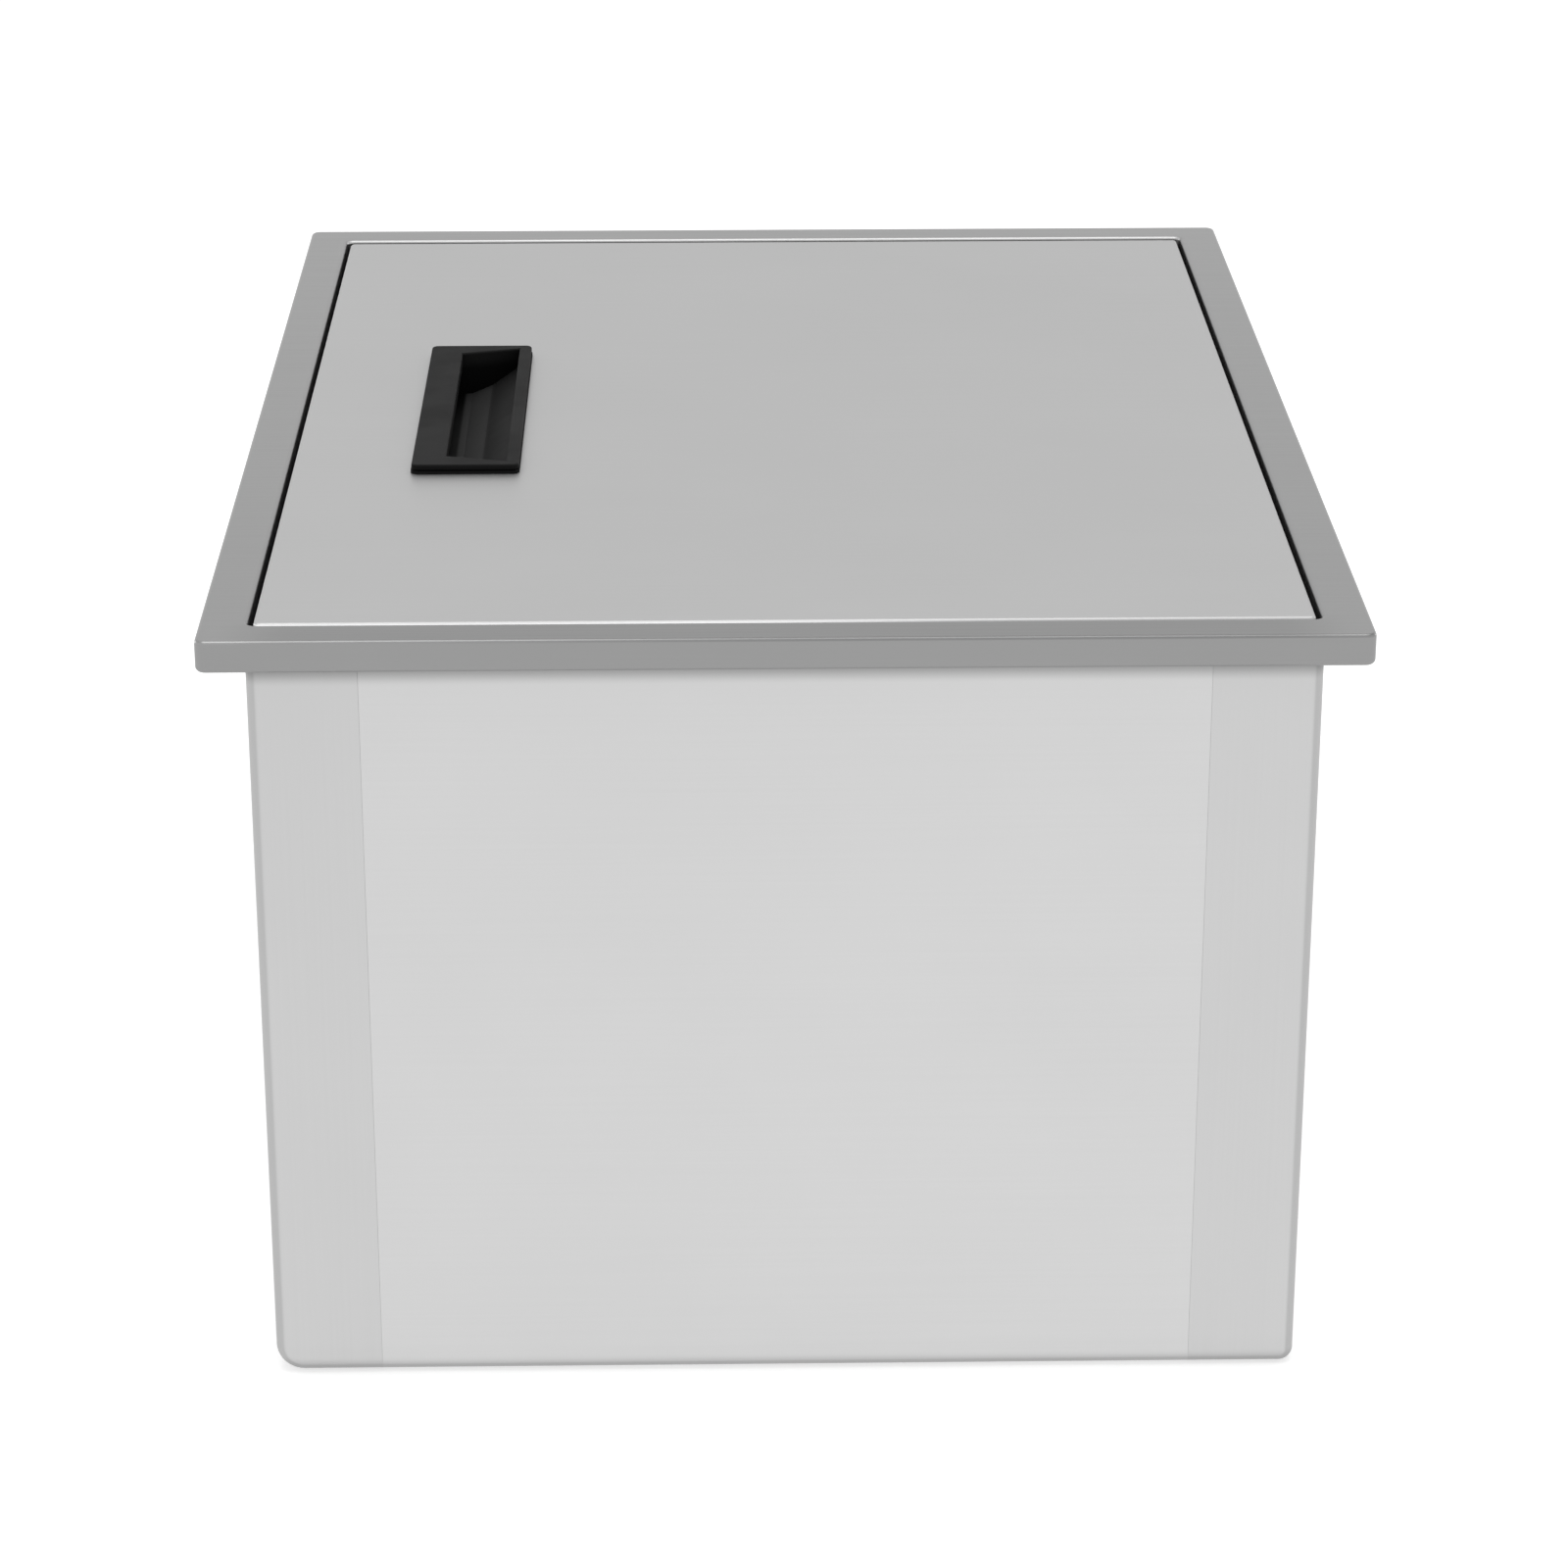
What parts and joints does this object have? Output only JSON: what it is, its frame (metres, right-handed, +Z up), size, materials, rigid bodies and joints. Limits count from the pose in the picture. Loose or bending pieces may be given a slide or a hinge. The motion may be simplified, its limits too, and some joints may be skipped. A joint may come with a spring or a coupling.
{
  "type": "drop in ice bin",
  "caption": "Insulated stainless drop-in ice bin: a rimmed double-walled tub with a hinged inset lid, a black recessed finger pull, and a floor drain with strainer and plug.",
  "frame": {"origin": "on the underside, below the middle of the rim, so the bin stands on z = 0", "axes": "+X to the right (the hinge side), +Y from front to back along the rim's longer side, +Z up"},
  "size_m": [0.432, 0.572, 0.3149],
  "materials": {
    "rim_steel": "satin",
    "shell_steel": "satin",
    "lid_steel": "satin",
    "well_steel": "satin",
    "fitting_steel": "satin",
    "black_plastic": "matte",
    "white_nylon": "satin",
    "black_rubber": "matte",
    "grey_rubber": "matte",
    "foam": "matte"
  },
  "bodies": {
    "bin": {"rim_frame": "rim_steel", "left_side_panel": "shell_steel", "right_side_panel": "shell_steel", "front_panel": "shell_steel", "rear_panel": "shell_steel", "bottom_panel": "shell_steel", "ice_well": "well_steel", "foam_insulation": "foam", "drain_socket": "fitting_steel", "socket_washer": "black_rubber", "hinge_pin_front": "fitting_steel", "hinge_pin_rear": "fitting_steel"},
    "lid": {"lid_top_panel": "lid_steel", "lid_bottom_panel": "well_steel", "lid_foam": "foam", "lid_gasket": "grey_rubber", "recessed_pull": "black_plastic", "hinge_hook_front": "white_nylon", "hinge_hook_rear": "white_nylon", "hook_rivets": "fitting_steel"},
    "strainer": {"drain_strainer": "fitting_steel"},
    "plug": {"drain_plug": "black_rubber", "plug_knob": "fitting_steel"}
  },
  "joints": [
    {"name": "lid_hinge", "type": "hinge", "parent": "bin", "child": "lid", "pos_m": [0.1885, 0, 0.305], "axis": [0, 1, 0], "range_deg": [0, 110]},
    {"name": "strainer_lift", "type": "slide", "parent": "bin", "child": "strainer", "axis": [0, 0, 1], "range_m": [0, 0.2]},
    {"name": "plug_lift", "type": "slide", "parent": "bin", "child": "plug", "axis": [0, 0, 1], "range_m": [0, 0.2]}
  ]
}
